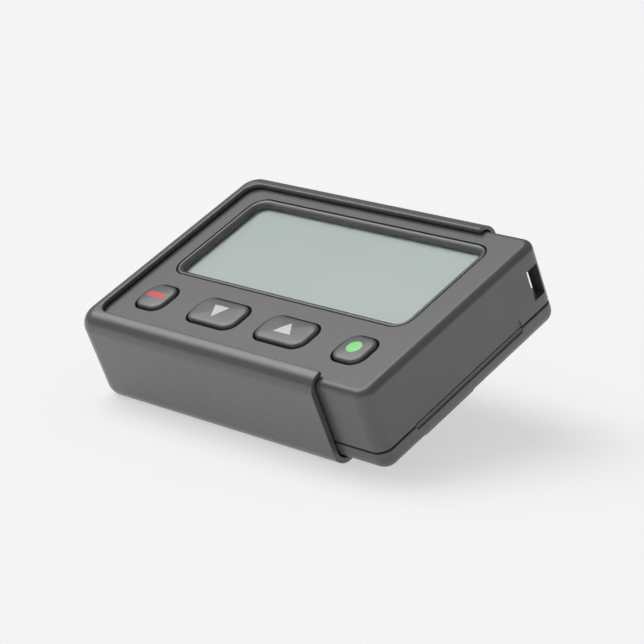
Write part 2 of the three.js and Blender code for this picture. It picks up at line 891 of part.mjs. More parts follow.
function makeClipLever() {
  const profile = [
    [-16.6, -21.9],
    [-16.2, -23.3],
    [-13.5, -24.1],
    [-9.9, -25.5],
    [-8.6, -26.35],
    [-6.9, -27.1],
    [-5.6, -27.9],
    [-4.7, -28.36],
    [-3.6, -28.55],
    [4, -28.2],
    [18, -27.2],
    [22.2, -26.4],
    [24.6, -24.6],
    [25.3, -22.4],
    [24.9, -20.9],
    [24.0, -19.75],
    [23.3, -19.75],
    [22.7, -21.2],
    [22.0, -23.0],
    [20.4, -24.2],
    [17.5, -24.9],
    [4, -25.8],
    [-2.2, -26.1],
    [-4.3, -25.5],
    [-5.2, -24.2],
    [-5.5, -23.2],
    [-6.6, -22.3],
    [-8.2, -22.2],
    [-9.6, -22.9],
    [-12.4, -22.3],
    [-15.2, -21.4],
  ].reverse();
  const x0 = CLIP_X0 + EAR_WIDTH + 0.3;
  const x1 = CLIP_X1 - EAR_WIDTH - 0.3;
  const middle = (x0 + x1) / 2;
  const arm = profileAlongX(profile, x0, x1);
  const wide = profileAlongX(
    [
      [-3.2, -28.53],
      [4, -28.2],
      [18, -27.2],
      [22.2, -26.4],
      [24.6, -24.6],
      [25.3, -22.4],
      [24.9, -20.9],
      [24.0, -19.75],
      [23.3, -19.75],
      [22.7, -21.2],
      [22.0, -23.0],
      [20.4, -24.2],
      [17.5, -24.9],
      [4, -25.8],
      [-2.2, -26.1],
    ].reverse(),
    CLIP_X0,
    CLIP_X1,
  );
  const pinHole = rod("x", PIN_RADIUS + 0.05, x0 - 2, x1 + 2, PIN_Y, PIN_Z, 18);
  const springBay = block(middle - 3.4, middle + 3.4, -11.2, -4.9, -26.6, -19);
  const springSlot = block(middle - 3.4, middle + 3.4, -12.6, -11.0, -22.95, -19);
  addPart("clip_lever", cut(arm.add(wide), [pinHole, springBay, springSlot]), blackPlastic);
}

makeFrontHousing();
makeRearHousing();
makeScrews();
makeDisplayRim();
makeLens();
makeDisplayStack();
makeButtons();
makeBoards();
makeComponents();
makeSpeaker();
makeVibrator();
makeBattery();
makeBatteryDoor();
makeHolster();
makeClipBracket();
makeRivets();
makeClipPin();
makeClipSpring();
makeClipLever();

flat.rotation.x = THREE.MathUtils.degToRad(REST_TILT_DEGREES);
assembly.updateMatrixWorld(true);
const extent = new THREE.Box3().setFromObject(assembly, true);
flat.position.set(
  -(extent.min.x + extent.max.x) / 2,
  -(extent.min.y + extent.max.y) / 2,
  -extent.min.z,
);
assembly.updateMatrixWorld(true);

export default assembly;
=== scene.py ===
"""Looks for the pager in its belt holster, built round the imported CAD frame."""

import math

import bmesh
import bpy
from mathutils import Matrix, Vector


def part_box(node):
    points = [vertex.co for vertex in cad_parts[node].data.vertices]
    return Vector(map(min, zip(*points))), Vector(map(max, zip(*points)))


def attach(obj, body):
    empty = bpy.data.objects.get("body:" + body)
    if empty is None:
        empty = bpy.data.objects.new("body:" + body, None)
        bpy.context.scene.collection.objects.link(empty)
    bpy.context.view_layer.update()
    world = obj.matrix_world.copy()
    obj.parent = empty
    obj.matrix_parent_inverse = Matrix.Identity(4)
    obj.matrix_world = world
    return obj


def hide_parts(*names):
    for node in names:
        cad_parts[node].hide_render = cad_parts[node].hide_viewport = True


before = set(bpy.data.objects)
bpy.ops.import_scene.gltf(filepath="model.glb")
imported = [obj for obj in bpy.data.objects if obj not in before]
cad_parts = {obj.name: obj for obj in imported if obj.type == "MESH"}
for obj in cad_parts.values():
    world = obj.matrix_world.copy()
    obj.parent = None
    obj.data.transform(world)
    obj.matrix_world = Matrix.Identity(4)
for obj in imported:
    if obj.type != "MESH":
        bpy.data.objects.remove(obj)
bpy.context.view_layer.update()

# The pager leans by TILT. PANEL_MIDDLE is the middle of the backlight panel in its flat frame.
MM = 0.001
TILT = math.radians(24.3)
PANEL_MIDDLE = (0.0, 6.0, -5.225)

# Flat frame of the pager, in millimetres: face at z = 0, the same numbers as the CAD.
BODY_X, BODY_Y, BODY_DEPTH = 39.0, 25.9, 18.05
BODY_CORNER, FACE_BEVEL, BACK_BEVEL = 2.9, 1.6, 2.4
SEAM_Z, SEAM_GAP, SEAM_CHAMFER = -13.8, 0.12, 0.34
FRONT_FOOT, REAR_HEAD = SEAM_Z + SEAM_GAP, SEAM_Z - SEAM_GAP
WALL, FLOOR_TOP = 1.5, -16.05

# Screw bosses; the last one is short, because it stands under the lanyard corner.
BOSSES = [(-34.8, -21.9), (34.8, -21.9), (-34.8, 21.9), (27.5, 22.3)]
BOSS_RADIUS, BOSS_TOP, SHORT_BOSS_TOP = 2.2, -1.0, -6.4

# Lanyard tunnel: in through the end wall and out through the far wall, round a solid corner.
LANYARD_NEAR, LANYARD_TURN = 20.8, 35.7
CORNER_Y = (19.6, 24.7)

# Pry recess across the seam in the end wall.
PRY_Y, PRY_Z, PRY_DEPTH = (-16.4, 15.7), (-14.8, -11.9), 0.42

# Display window, and the rim set into the face round it.
WINDOW_X, WINDOW_Y0, WINDOW_Y1, WINDOW_CORNER = 30.85, -5.4, 19.45, 2.3
RIM_WIDTH, RIM_GAP, RIM_FLANGE, RIM_FOOT = 1.3, 0.2, 0.75, -2.7
LCD_TOP, LENS_FOOT, LENS_TOP = -1.65, -1.6, -1.3

# Buttons: name to middle x and half width.
BUTTONS = {
    "power": (-27.5, 3.9),
    "down": (-9.5, 6.75),
    "up": (9.5, 6.75),
    "select": (27.5, 3.9),
}
BUTTON_Y, BUTTON_HALF_Y = -15.1, 3.9
BUTTON_RADIUS, BUTTON_GAP, BUTTON_TOP = 2.7, 0.28, 0.75
CAP_INSET, CAP_DOME, CAP_FOOT = 0.2, 0.12, -1.9
CAP_TOP = BUTTON_TOP - CAP_DOME
# Inset and drop of the cap's side, from its foot over a soft edge to its top.
CAP_EDGE = [
    (0.0, CAP_TOP - CAP_FOOT),
    (0.0, 0.6),
    (0.02, 0.46),
    (0.08, 0.33),
    (0.17, 0.23),
    (0.3, 0.145),
    (0.48, 0.085),
    (0.68, 0.035),
    (0.9, 0.01),
    (1.05, 0.0),
]

# Battery bay and door, in the back.
BATTERY_Y, BAY_HALF, BAY_WALL, BAY_TOP = -8.4, 5.7, 0.8, -9.2
BAY_X = (-17.0, 33.2)
DOOR_X0, DOOR_Y0, DOOR_Y1, DOOR_TOP = -19.0, -16.2, 2.2, -17.1
DOOR_SLIT = 0.2

# Holster.
HOLSTER_X0, HOLSTER_X1, HOLSTER_Y = -40.6, 26.8, 27.45
HOLSTER_TOP, HOLSTER_BACK = 1.15, -19.35
HOLSTER_CORNER, HOLSTER_ROUND = 4.7, 3.4
LIP_Y, LIP_X0, LIP_FOOT = 23.6, -36.65, 0.25
CLEARANCE = 0.3
RIVETS = [(-14.0, -7.2), (0.0, -7.2)]

# Belt clip.
CLIP_MIDDLE, PIN_Y, PIN_Z = -7.0, -7.5, -24.4
COIL_RADIUS, COIL_HALF, COIL_TURNS, WIRE_RADIUS = 1.75, 2.4, 4, 0.3

# How far cutters reach past the pager on each side.
UNDER, OVER, PAST = -30.0, 5.0, 60.0

# Camera, as the photograph was taken, and the light.
CAMERA_OFFSET = (330.462, -331.676, 116.622)
CAMERA_AZIMUTH, CAMERA_ELEVATION = math.radians(45.112), math.radians(14.879)
LENS_MM, SENSOR_MM = 136.96, 36.0
LIGHT_DIRECTION = (-0.5, -0.12, 0.858)
WORLD_BASE, WORLD_PEAK, KEY_POWER, KEY_SIZE = 0.29, 3.1, 0.25, 0.5
FLOOR_TONE, FLOOR_GLOW = 0.5, 0.54


def flat_to_row():
    """Matrix from the flat frame in millimetres to the row frame in metres."""
    turn = Matrix.Rotation(TILT, 4, "X")
    low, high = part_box("backlight_panel")
    middle = turn @ Vector(PANEL_MIDDLE)
    offset = (low + high) / 2 - middle * MM
    return Matrix.Translation(offset) @ turn @ Matrix.Scale(MM, 4)


TO_ROW = flat_to_row()


# ---------------------------------------------------------------- mesh making


def raw_object(name, verts, faces):
    mesh = bpy.data.meshes.new(name)
    mesh.from_pydata([tuple(v) for v in verts], [], [tuple(f) for f in faces])
    mesh.validate()
    piece = bpy.data.objects.new(name, mesh)
    bpy.context.scene.collection.objects.link(piece)
    fix_normals(piece)
    return piece


def fix_normals(piece):
    bm = bmesh.new()
    bm.from_mesh(piece.data)
    bmesh.ops.recalc_face_normals(bm, faces=bm.faces)
    bm.to_mesh(piece.data)
    bm.free()


def outline(x0, x1, y0, y1, radius, z, steps=10):
    corners = (
        (x1 - radius, y1 - radius, 0),
        (x0 + radius, y1 - radius, 90),
        (x0 + radius, y0 + radius, 180),
        (x1 - radius, y0 + radius, 270),
    )
    points = []
    for cx, cy, start in corners:
        for i in range(steps + 1):
            a = math.radians(start + 90 * i / steps)
            points.append((cx + radius * math.cos(a), cy + radius * math.sin(a), z))
    return points


def loft(name, rings, closed=False):
    """Skin through rings of equal length; capped, or closed on itself."""
    count = len(rings[0])
    verts = [p for ring in rings for p in ring]
    faces = []
    levels = len(rings)
    for level in range(levels if closed else levels - 1):
        a, b = level * count, ((level + 1) % levels) * count
        for i in range(count):
            j = (i + 1) % count
            faces.append((a + i, a + j, b + j, b + i))
    if not closed:
        faces.append(tuple(reversed(range(count))))
        faces.append(tuple(range((levels - 1) * count, levels * count)))
    return raw_object(name, verts, faces)


def levels_of(z0, z1, low, high, arcs):
    """(inset, z) pairs of a side that is rounded inwards at its foot and head."""
    pairs = []
    if low:
        for i in range(arcs + 1):
            a = math.pi / 2 * i / arcs
            pairs.append((low * (1 - math.sin(a)), z0 + low * (1 - math.cos(a))))
    else:
        pairs.append((0.0, z0))
    if high:
        for i in range(arcs + 1):
            a = math.pi / 2 * i / arcs
            pairs.append((high * (1 - math.cos(a)), z1 - high * (1 - math.sin(a))))
    else:
        pairs.append((0.0, z1))
    return pairs


def pillow(name, x0, x1, y0, y1, z0, z1, corner, low=0.0, high=0.0, steps=10, arcs=8):
    """Rounded box whose foot and head are rounded by low and high."""
    return loft(
        name,
        [
            inset_outline(x0, x1, y0, y1, corner, inset, z, steps)
            for inset, z in levels_of(z0, z1, low, high, arcs)
        ],
    )


def inset_outline(x0, x1, y0, y1, corner, inset, z, steps):
    radius = max(corner - inset, 0.25)
    return outline(x0 + inset, x1 - inset, y0 + inset, y1 - inset, radius, z, steps)


def flared_hole(name, x0, x1, y0, y1, z0, z_face, corner, flare, steps):
    """Cutter whose mouth opens in a small radius at z_face."""
    levels = [(0.0, z0)]
    for i in range(6):
        a = math.pi / 2 * i / 5
        levels.append((flare * (1 - math.cos(a)), z_face - flare + flare * math.sin(a)))
    levels.append((flare, z_face + 3))
    return loft(
        name,
        [
            outline(x0 - grow, x1 + grow, y0 - grow, y1 + grow, corner + grow, z, steps)
            for grow, z in levels
        ],
    )


def block(name, x0, x1, y0, y1, z0, z1):
    return loft(name, [box_ring(x0, x1, y0, y1, z0), box_ring(x0, x1, y0, y1, z1)])


def box_ring(x0, x1, y0, y1, z):
    return [(x1, y1, z), (x0, y1, z), (x0, y0, z), (x1, y0, z)]


def rod(name, x, y, radius, z0, z1, sides=32):
    return loft(name, [circle(x, y, radius, z, sides) for z in (z0, z1)])


def circle(x, y, radius, z, sides):
    turns = [2 * math.pi * i / sides for i in range(sides)]
    return [(x + radius * math.cos(t), y + radius * math.sin(t), z) for t in turns]


def remove(piece):
    mesh = piece.data
    bpy.data.objects.remove(piece)
    if mesh.users == 0:
        bpy.data.meshes.remove(mesh)


def apply_modifiers(piece):
    graph = bpy.context.evaluated_depsgraph_get()
    baked = bpy.data.meshes.new_from_object(piece.evaluated_get(graph))
    old = piece.data
    piece.modifiers.clear()
    piece.data = baked
    bpy.data.meshes.remove(old)


def boolean(target, cutters, operation="DIFFERENCE"):
    for cutter in cutters:
        modifier = target.modifiers.new("cut", "BOOLEAN")
        modifier.operation = operation
        modifier.solver = "EXACT"
        modifier.object = cutter
        bpy.context.view_layer.update()
        apply_modifiers(target)
        remove(cutter)
    return target


def soften(piece, width, angle=50):
    """Rounds the sharp edges that the cuts left."""
    modifier = edge_bevel(piece, width, angle)
    modifier.use_clamp_overlap = True
    modifier.miter_outer = "MITER_ARC"
    bpy.context.view_layer.update()
    apply_modifiers(piece)


def edge_bevel(piece, width, angle):
    modifier = piece.modifiers.new("soft_edges", "BEVEL")
    modifier.width = width
    modifier.segments = 3
    modifier.limit_method = "ANGLE"
    modifier.angle_limit = math.radians(angle)
    return modifier


def smooth(piece, angle=32):
    mesh = piece.data
    bm = bmesh.new()
    bm.from_mesh(mesh)
    limit = math.radians(angle)
    for face in bm.faces:
        face.smooth = True
    for edge in bm.edges:
        edge.smooth = not (edge.is_manifold and edge.calc_face_angle(0.0) > limit)
    bm.to_mesh(mesh)
    bm.free()
    modifier = piece.modifiers.new("shading", "WEIGHTED_NORMAL")
    modifier.keep_sharp = True
    modifier.weight = 80


def weld(piece, distance=0.0005):
    bm = bmesh.new()
    bm.from_mesh(piece.data)
    bmesh.ops.remove_doubles(bm, verts=bm.verts, dist=distance)
    bmesh.ops.dissolve_degenerate(bm, dist=distance, edges=bm.edges)
    bm.to_mesh(piece.data)
    bm.free()


def settle(piece, material, body, *nodes, slot):
    """Puts a flat-frame piece in its place, with its material, body and CAD nodes."""
    piece.data.transform(TO_ROW)
    smooth(piece)
    assign(piece, material, body, *nodes, slot=slot)


def assign(piece, material, body, *nodes, slot):
    piece.data.materials.clear()
    piece.data.materials.append(material)
    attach(piece, body)
    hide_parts(*nodes)


# ------------------------------------------------------------------ materials


class Nodes:
    """Small helper for a material's node tree."""

    def __init__(self, name):
        self.material = bpy.data.materials.new(name)
        self.material.use_nodes = True
        self.tree = self.material.node_tree
        self.tree.nodes.clear()
        self.output = self.add("ShaderNodeOutputMaterial")
        coords = self.add("ShaderNodeTexCoord")
        scale = self.add("ShaderNodeVectorMath")
        scale.operation = "SCALE"
        scale.inputs["Scale"].default_value = 1 / MM
        self.link(coords.outputs["Object"], scale.inputs[0])
        self.mm = scale.outputs[0]

    def add(self, kind):
        return self.tree.nodes.new(kind)

    def link(self, a, b):
        self.tree.links.new(a, b)

    def noise(self, scale, detail=3.0, roughness=0.55, stretch=None):
        node = self.add("ShaderNodeTexNoise")
        node.inputs["Scale"].default_value = scale
        node.inputs["Detail"].default_value = detail
        node.inputs["Roughness"].default_value = roughness
        source = self.mm
        if stretch:
            mapping = self.add("ShaderNodeMapping")
            mapping.inputs["Scale"].default_value = stretch
            self.link(self.mm, mapping.inputs["Vector"])
            source = mapping.outputs[0]
        self.link(source, node.inputs["Vector"])
        return node.outputs["Fac"]

    def tone(self, factor, dark, pale):
        """Colour that goes from dark to pale as the factor rises through its middle range."""
        node = self.add("ShaderNodeValToRGB")
        for element, position, color in zip(node.color_ramp.elements, (0.3, 0.7), (dark, pale)):
            element.position = position
            element.color = (*color, 1.0)
        self.link(factor, node.inputs["Fac"])
        return node.outputs["Color"]

    def spread(self, factor, low, high, start=0.3, end=0.7):
        """Value that goes from low to high as the factor goes from start to end."""
        node = self.add("ShaderNodeMapRange")
        node.inputs["From Min"].default_value = start
        node.inputs["From Max"].default_value = end
        node.inputs["To Min"].default_value = low
        node.inputs["To Max"].default_value = high
        self.link(factor, node.inputs["Value"])
        return node.outputs["Result"]

    def bump(self, height, strength, distance_mm, under=None):
        node = self.add("ShaderNodeBump")
        node.inputs["Strength"].default_value = strength
        node.inputs["Distance"].default_value = distance_mm * MM
        self.link(height, node.inputs["Height"])
        if under is not None:
            self.link(under, node.inputs["Normal"])
        return node.outputs["Normal"]

    def multiply(self, a, b):
        node = self.add("ShaderNodeMath")
        node.operation = "MULTIPLY"
        self.link(a, node.inputs[0])
        self.link(b, node.inputs[1])
        return node.outputs[0]

    def principled(self, **values):
        """Surface shader; an underscore in a value's name stands for a space."""
        node = self.add("ShaderNodeBsdfPrincipled")
        for key, value in values.items():
            node.inputs[key.replace("_", " ")].default_value = value
        self.link(node.outputs[0], self.output.inputs["Surface"])
        return node


def shade(color, factor):
    return tuple(c * factor for c in color)


def moulded(
    name, color, rough, grain_mm=0.3, grain=0.2, worn=1.35, mottling=0.06, specular=0.5
):
    """Moulded plastic: spark-eroded grain, faint mottling, lighter rubbed edges."""
    n = Nodes(name)
    shader = n.principled(Specular_IOR_Level=specular)
    pale, dark = shade(color, 1 + mottling), shade(color, 1 - mottling)
    base = n.tone(n.noise(0.09, 3.0), dark, pale)
    geometry = n.add("ShaderNodeNewGeometry")
    edges = n.spread(geometry.outputs["Pointiness"], 0.0, 1.0, 0.53, 0.6)
    patches = n.spread(n.noise(0.6, 4.0), 0.1, 0.9, 0.4, 0.65)
    wear = n.multiply(edges, patches)
    mix = n.add("ShaderNodeMix")
    mix.data_type = "RGBA"
    mix.inputs["B"].default_value = (*shade(color, worn), 1.0)
    n.link(wear, mix.inputs["Factor"])
    n.link(base, mix.inputs["A"])
    n.link(mix.outputs["Result"], shader.inputs["Base Color"])
    n.link(n.spread(n.noise(0.4, 2.0), rough * 0.92, rough * 1.1), shader.inputs["Roughness"])
    fine = n.noise(1.0 / grain_mm, 2.0, 0.6)
    coarse = n.noise(0.35 / grain_mm, 2.0, 0.5)
    first = n.bump(coarse, grain * 0.4, 0.02)
    n.link(n.bump(fine, grain, 0.012, first), shader.inputs["Normal"])
    return n.material


def metal(name, color, rough, stretch=(1.0, 1.0, 1.0)):
    """Bare metal with fine lines, drawn out along one axis by stretch."""
    n = Nodes(name)
    shader = n.principled(Metallic=1.0)
    dark, pale = shade(color, 0.9), shade(color, 1.08)
    n.link(n.tone(n.noise(0.8, 3.0), dark, pale), shader.inputs["Base Color"])
    lines = n.noise(3.0, 3.0, 0.6, stretch)
    n.link(n.spread(lines, rough - 0.06, rough + 0.1), shader.inputs["Roughness"])
    n.link(n.bump(lines, 0.15, 0.006), shader.inputs["Normal"])
    return n.material


def button_mark(name, color):
    """Coloured plastic moulded into a button."""
    n = Nodes(name)
    shader = n.principled(Roughness=0.35)
    dark, pale = shade(color, 0.95), shade(color, 1.04)
    n.link(n.tone(n.noise(1.2, 3.0), dark, pale), shader.inputs["Base Color"])
    n.link(n.bump(n.noise(6.0, 2.0), 0.12, 0.01), shader.inputs["Normal"])
    return n.material


def lcd_material():
    """Reflective grey-green panel, slightly uneven and faintly brushed along its length."""
    n = Nodes("lcd_reflector")
    shader = n.principled(Specular_IOR_Level=0.35)
    dark, pale = (0.56, 0.618, 0.6), (0.58, 0.638, 0.62)
    n.link(n.tone(n.noise(0.05, 2.0), dark, pale), shader.inputs["Base Color"])
    streaks = n.noise(1.0, 2.0, 0.5, (0.15, 1.0, 1.0))
    n.link(n.spread(streaks, 0.4, 0.45), shader.inputs["Roughness"])
    n.link(n.bump(streaks, 0.02, 0.004), shader.inputs["Normal"])
    return n.material


def lens_material():
    """Clear window: see-through, with a glossy surface that strengthens at grazing angles."""
    n = Nodes("window_acrylic")
    clear = n.add("ShaderNodeBsdfTransparent")
    clear.inputs["Color"].default_value = (0.97, 0.985, 0.98, 1.0)
    gloss = n.add("ShaderNodeBsdfGlossy")
    gloss.inputs["Color"].default_value = (1.0, 1.0, 1.0, 1.0)
    n.link(n.spread(n.noise(0.3, 4.0), 0.03, 0.09), gloss.inputs["Roughness"])
    fresnel = n.add("ShaderNodeFresnel")
    fresnel.inputs["IOR"].default_value = 1.49
    geometry = n.add("ShaderNodeNewGeometry")
    outside = n.add("ShaderNodeMath")
    outside.operation = "SUBTRACT"
    outside.inputs[0].default_value = 1.0
    n.link(geometry.outputs["Backfacing"], outside.inputs[1])
    mix = n.add("ShaderNodeMixShader")
    n.link(n.multiply(fresnel.outputs[0], outside.outputs[0]), mix.inputs[0])
    n.link(clear.outputs[0], mix.inputs[1])
    n.link(gloss.outputs[0], mix.inputs[2])
    n.link(mix.outputs[0], n.output.inputs["Surface"])
    return n.material


def board(name, color):
    """Solder resist over copper tracks."""
    n = Nodes(name)
    shader = n.principled(Roughness=0.35)
    tracks = n.add("ShaderNodeTexBrick")
    tracks.inputs["Scale"].default_value = 0.35
    tracks.inputs["Mortar Size"].default_value = 0.03
    for part, factor in (("Color1", 1.0), ("Color2", 0.9), ("Mortar", 1.8)):
        tracks.inputs[part].default_value = (*shade(color, factor), 1.0)
    n.link(n.mm, tracks.inputs["Vector"])
    n.link(tracks.outputs["Color"], shader.inputs["Base Color"])
    n.link(n.bump(tracks.outputs["Fac"], 0.2, 0.03), shader.inputs["Normal"])
    return n.material


def rubber(name, color):
    n = Nodes(name)
    shader = n.principled(Roughness=0.85)
    dark, pale = shade(color, 0.8), shade(color, 1.3)
    n.link(n.tone(n.noise(0.8), dark, pale), shader.inputs["Base Color"])
    n.link(n.bump(n.noise(4.0, 3.0), 0.3, 0.02), shader.inputs["Normal"])
    return n.material


HOUSING = moulded("housing_moulding", (0.082, 0.081, 0.087), 0.34, grain=0.9, specular=0.85)
BUTTON = moulded(
    "button_moulding", (0.104, 0.106, 0.105), 0.3, grain_mm=0.25, grain=0.07, specular=0.85
)
HOLSTER = moulded(
    "holster_moulding",
    (0.09, 0.094, 0.09),
    0.27,
    grain=0.12,
    worn=1.0,
    mottling=0.03,
    specular=0.9,
)
RIM = moulded(
    "rim_moulding",
    (0.07, 0.07, 0.072),
    0.25,
    grain=0.02,
    worn=1.0,
    mottling=0.03,
    specular=1.0,
)
CLIP = moulded("clip_moulding", (0.05, 0.051, 0.052), 0.42, grain_mm=0.4, grain=0.15)
BLACK = moulded("black_moulding", (0.03, 0.03, 0.031), 0.5)
WHITE = moulded("white_moulding", (0.72, 0.72, 0.7), 0.5, grain=0.1, worn=1.05)
EPOXY = moulded("chip_epoxy", (0.018, 0.018, 0.019), 0.55, grain_mm=0.15, grain=0.3)
FLEX = moulded("flex_film", (0.45, 0.22, 0.05), 0.3, grain_mm=0.5, grain=0.05)
CELL = moulded("cell_paint", (0.03, 0.08, 0.27), 0.25, grain_mm=0.6, grain=0.05)
STEEL = metal("plated_steel", (0.62, 0.62, 0.61), 0.28, stretch=(0.2, 3.0, 3.0))
RIVET = metal("blackened_steel", (0.22, 0.22, 0.22), 0.42)
COPPER = metal("copper_strip", (0.8, 0.42, 0.24), 0.32, stretch=(0.2, 3.0, 3.0))
TUNGSTEN = metal("sintered_tungsten", (0.3, 0.3, 0.31), 0.45)
BOARD = board("solder_resist", (0.015, 0.11, 0.045))
RUBBER = rubber("black_rubber", (0.02, 0.02, 0.022))
RED = button_mark("mark_red", (0.86, 0.075, 0.095))
PALE = button_mark("mark_white", (0.78, 0.79, 0.79))
GREEN = button_mark("mark_green", (0.32, 0.95, 0.33))
LCD = lcd_material()
LENS = lens_material()


# --------------------------------------------------------------------- pieces


def body_shell(name, z_low, z_high, low, high):
    """Outer skin of one housing half, with a fine chamfer at the seam."""
    levels = levels_of(z_low, z_high, low, high, 10)
    chamfer = [(SEAM_CHAMFER, 0.0), (0.3 * SEAM_CHAMFER, 0.4 * SEAM_CHAMFER), (0.0, SEAM_CHAMFER)]
    if low:
        levels = levels[:-1] + [(inset, z_high - rise) for inset, rise in reversed(chamfer)]
    else:
        levels = [(inset, z_low + rise) for inset, rise in chamfer] + levels[1:]
    return loft(
        name,
        [
            inset_outline(-BODY_X, BODY_X, -BODY_Y, BODY_Y, BODY_CORNER, inset, z, 12)
            for inset, z in levels
        ],
    )


def cavity(name, z0, z1):
    x, y = BODY_X - WALL, BODY_Y - WALL
    return pillow(name, -x, x, -y, y, z0, z1, 1.6, steps=6)


def pry_recess():
    """Shallow scoop in the end wall, across the seam, with sloping ends."""
    depths = ((PRY_DEPTH, 0.45), (PRY_DEPTH - 0.12, 0.12), (0.0, 0.0), (-1.0, 0.0))
    rings = []
    for depth, inset in depths:
        ring = outline(
            PRY_Y[0] + inset, PRY_Y[1] - inset, PRY_Z[0] + inset, PRY_Z[1] - inset, 0.5, 0, 4
        )
        rings.append([(BODY_X - depth, y, z) for y, z, _ in ring])
    return loft("pry", rings)


def make_front():
    shell = body_shell("front_shell", FRONT_FOOT, 0.0, 0.0, FACE_BEVEL)
    boolean(shell, [cavity("hollow", UNDER, -WALL)])
    heads = [BOSS_TOP, BOSS_TOP, BOSS_TOP, SHORT_BOSS_TOP]
    added = [
        rod("post", x, y, BOSS_RADIUS, FRONT_FOOT, head) for (x, y), head in zip(BOSSES, heads)
    ]
    added.append(block("corner", 32.7, 37.8, *CORNER_Y, FRONT_FOOT, -1.2))
    added.append(block("elbow", 30.8, 33.0, *CORNER_Y, FRONT_FOOT, -6.3))
    boolean(shell, added, "UNION")
    cutters = [window_cutter()]
    cutters += [button_hole(x, half) for x, half in BUTTONS.values()]
    cutters += [rod("pilot", x, y, 0.9, UNDER, -8.2, 16) for x, y in BOSSES]
    cutters.append(pry_recess())
    cutters.append(block("slot_in", LANYARD_TURN, PAST, LANYARD_NEAR, 24.1, -11.2, -4.5))
    cutters.append(block("slot_out", 31.7, LANYARD_TURN + 0.1, LANYARD_NEAR, PAST, -12.6, -6.9))
    boolean(shell, cutters)
    weld(shell)
    settle(shell, HOUSING, "pager", "front_housing", slot="housing_plastic")


def window_cutter():
    grow = RIM_WIDTH + RIM_GAP
    x, y0, y1 = WINDOW_X + grow, WINDOW_Y0 - grow, WINDOW_Y1 + grow
    return flared_hole("window", -x, x, y0, y1, -WALL - 0.5, 0.0, 3.7, 0.12, 14)


def button_hole(x, half):
    hx, hy = half + BUTTON_GAP, BUTTON_HALF_Y + BUTTON_GAP
    corner = BUTTON_RADIUS + BUTTON_GAP
    return flared_hole(
        "hole", x - hx, x + hx, BUTTON_Y - hy, BUTTON_Y + hy, -WALL - 0.5, 0.0, corner, 0.14, 12
    )


def make_rear():
    shell = body_shell("rear_shell", -BODY_DEPTH, REAR_HEAD, BACK_BEVEL, 0.0)
    boolean(shell, [cavity("hollow", FLOOR_TOP, OVER)])
    sunk = FLOOR_TOP - 0.4
    wide = BAY_HALF + BAY_WALL
    added = [rod("post", x, y, BOSS_RADIUS, sunk, REAR_HEAD) for x, y in BOSSES]
    added.append(
        block(
            "bay",
            BAY_X[0] - BAY_WALL,
            BAY_X[1] + BAY_WALL,
            BATTERY_Y - wide,
            BATTERY_Y + wide,
            sunk,
            BAY_TOP,
        )
    )
    boolean(shell, added, "UNION")
    x0, head = DOOR_X0 - 0.3, DOOR_TOP + 0.15
    groove = DOOR_SLIT + 0.6
    cutters = [
        block("bay_in", *BAY_X, BATTERY_Y - BAY_HALF, BATTERY_Y + BAY_HALF, UNDER, OVER),
        block("door", x0, PAST, DOOR_Y0 - DOOR_SLIT, DOOR_Y1 + DOOR_SLIT, UNDER, head),
        block("groove", x0, PAST, DOOR_Y0 - groove, DOOR_Y1 + groove, DOOR_TOP - 0.5, head),
        pry_recess(),
    ]
    cutters += [rod("hole", x, y, 1.1, UNDER, OVER, 20) for x, y in BOSSES]
    cutters += [rod("pocket", x, y, 1.9, UNDER, -16.85) for x, y in BOSSES]
    cutters += [sound_slot(y) for y in (6.5, 10, 13.5)]
    boolean(shell, cutters)
    weld(shell)
    settle(shell, HOUSING, "pager", "rear_housing", slot="housing_plastic")


def sound_slot(y):
    return pillow("sound", 13, 23, y - 0.5, y + 0.5, UNDER, -14, 0.48, steps=5)


def make_door():
    """Back strip over the cell, with a tongue down each side and a ribbed thumb grip."""
    door = block("battery_cover", DOOR_X0, PAST, DOOR_Y0, DOOR_Y1, UNDER, DOOR_TOP)
    y0, y1 = DOOR_Y0 - 0.6, DOOR_Y1 + 0.6
    boolean(door, [block("tongue", DOOR_X0, PAST, y0, y1, DOOR_TOP - 0.38, DOOR_TOP)], "UNION")
    skin = pillow(
        "skin",
        -BODY_X,
        BODY_X,
        -BODY_Y,
        BODY_Y,
        -BODY_DEPTH,
        0,
        BODY_CORNER,
        BACK_BEVEL,
        FACE_BEVEL,
        12,
        10,
    )
    boolean(door, [skin], "INTERSECT")
    grip = pillow("grip", 28.2, 37.7, -14.6, 1.4, -18.35, -17.4, 1.2, 0.5, 0, 8, 6)
    boolean(door, [grip], "UNION")
    boolean(
        door,
        [
            pillow("groove", x - 0.35, x + 0.35, -12.8, -0.4, UNDER, -18.0, 0.33, steps=5)
            for x in (30.2, 32.2, 34.2)
        ],
    )
    weld(door)
    settle(door, HOUSING, "battery_door", "battery_door", slot="housing_plastic")


def make_rim():
    """Satin bead round the window, swept along its rounded outline."""
    flange_out, flange_top = RIM_WIDTH + RIM_FLANGE, -WALL - 0.1
    lip = -1.55
    profile = [
        (0.0, lip),
        (0.0, -0.62),
        (0.03, -0.5),
        (0.12, -0.38),
        (0.4, -0.2),
        (0.62, -0.07),
        (0.78, 0.0),
        (0.92, 0.015),
        (1.08, 0.0),
        (1.2, -0.07),
        (RIM_WIDTH, -0.22),
        (RIM_WIDTH, flange_top),
        (flange_out, flange_top),
        (flange_out, RIM_FOOT),
        (RIM_FLANGE, RIM_FOOT),
        (RIM_FLANGE, lip),
    ]
    rings = []
    for out, z in profile:
        x, y0, y1 = WINDOW_X + out, WINDOW_Y0 - out, WINDOW_Y1 + out
        rings.append(outline(-x, x, y0, y1, WINDOW_CORNER + 0.9 * out, z, 16))
    rim = loft("window_rim", rings, closed=True)
    settle(rim, RIM, "pager", "display_rim", slot="rim_plastic")


